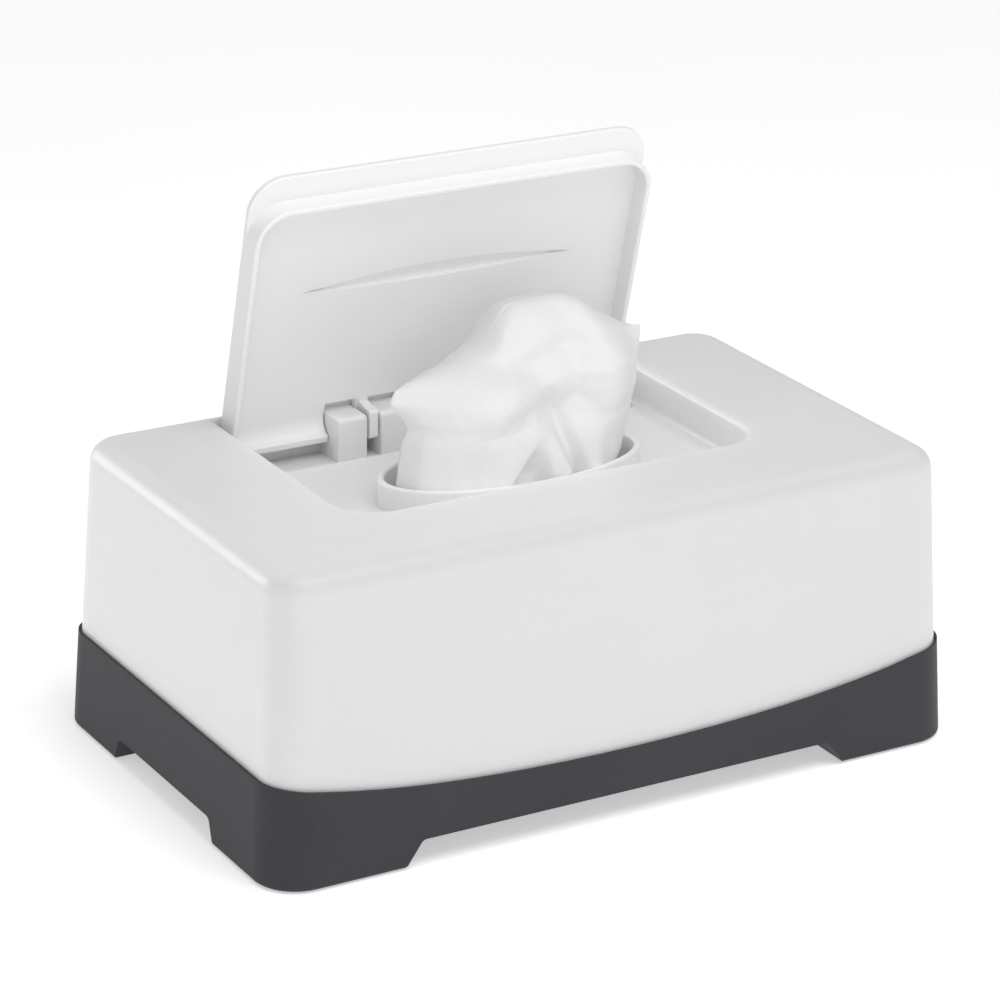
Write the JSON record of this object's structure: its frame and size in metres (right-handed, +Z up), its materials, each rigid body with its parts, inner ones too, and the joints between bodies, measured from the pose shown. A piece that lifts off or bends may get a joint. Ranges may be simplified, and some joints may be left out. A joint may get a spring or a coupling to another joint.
{
  "type": "baby wipes box",
  "caption": "Free-standing box that keeps a pack of moist baby wipes and dispenses them one by one through an oval collar under a hinged lid.",
  "frame": {"origin": "centre of the footprint, on the surface that the box stands on", "axes": "+X along the box's length, +Y towards the hinge side, +Z up"},
  "size_m": [0.2248, 0.1392, 0.1668],
  "materials": {
    "dark_plastic": "satin moulded",
    "white_plastic": "semi-gloss moulded",
    "pad_rubber": "matt",
    "seal_rubber": "matt soft",
    "pin_steel": "ground",
    "wet_wipe": "moist nonwoven"
  },
  "bodies": {
    "base": {"base_tray": "dark_plastic", "non_slip_pads": "pad_rubber", "rim_seal": "seal_rubber", "wipes_stack": "wet_wipe"},
    "cover": {"cover_shell": "white_plastic", "hinge_pin_left": "pin_steel", "hinge_pin_right": "pin_steel", "wipe_sheet": "wet_wipe"},
    "lid": {"lid": "white_plastic"}
  },
  "joints": [
    {"name": "cover_lift", "type": "slide", "parent": "base", "child": "cover", "axis": [0, 0, 1], "range_m": [0, 0.11]},
    {"name": "lid_hinge", "type": "hinge", "parent": "cover", "child": "lid", "pos_m": [0, 0.04997, 0.08395], "axis": [-1, 0, 0], "range_deg": [-75.8, 17], "deforming": ["wipe_sheet"]}
  ]
}
